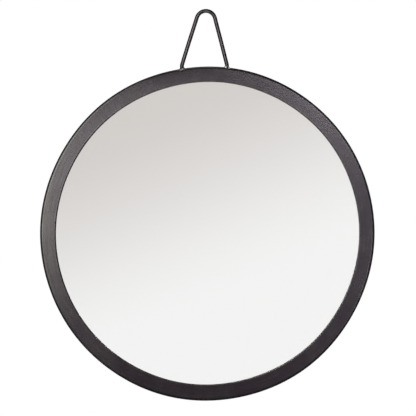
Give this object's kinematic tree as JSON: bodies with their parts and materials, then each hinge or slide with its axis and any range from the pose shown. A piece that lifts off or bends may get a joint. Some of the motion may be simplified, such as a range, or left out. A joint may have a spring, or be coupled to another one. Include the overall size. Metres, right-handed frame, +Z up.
{
  "type": "round wall mirror",
  "caption": "Round wall mirror in a flat blackened iron frame, hung by a bent rod loop welded on top of the frame.",
  "frame": {"origin": "the hang point: inside the top of the loop, half way through the frame's depth, where a nail or hook carries the mirror", "axes": "+Z up, +Y towards the wall, so the mirror faces -Y and +X is to the right as seen from the front"},
  "size_m": [0.5, 0.0165, 0.586],
  "materials": {
    "face_iron": "satin",
    "frame_iron": "satin",
    "rod_iron": "satin",
    "tab_iron": "satin",
    "weld_iron": "satin",
    "tape": "matte",
    "clear_glass": "polished",
    "silvering": "polished",
    "card": "matte",
    "board": "matte",
    "bumper_rubber": "matte"
  },
  "bodies": {
    "root": {"rim_hoop": "frame_iron", "face_ring": "face_iron", "ring_tacks": "weld_iron", "seam_weld": "weld_iron", "hanger_loop": "rod_iron", "hanger_weld_left": "weld_iron", "hanger_weld_right": "weld_iron", "glazing_tape": "tape", "mirror_glass": "clear_glass", "silver_backing": "silvering", "cushion_card": "card", "backing_board": "board", "tab_1": "tab_iron", "tab_2": "tab_iron", "tab_3": "tab_iron", "tab_4": "tab_iron", "tab_5": "tab_iron", "tab_6": "tab_iron", "tab_7": "tab_iron", "tab_8": "tab_iron", "bumper_1": "bumper_rubber", "bumper_2": "bumper_rubber", "bumper_3": "bumper_rubber", "bumper_4": "bumper_rubber"}
  },
  "joints": []
}
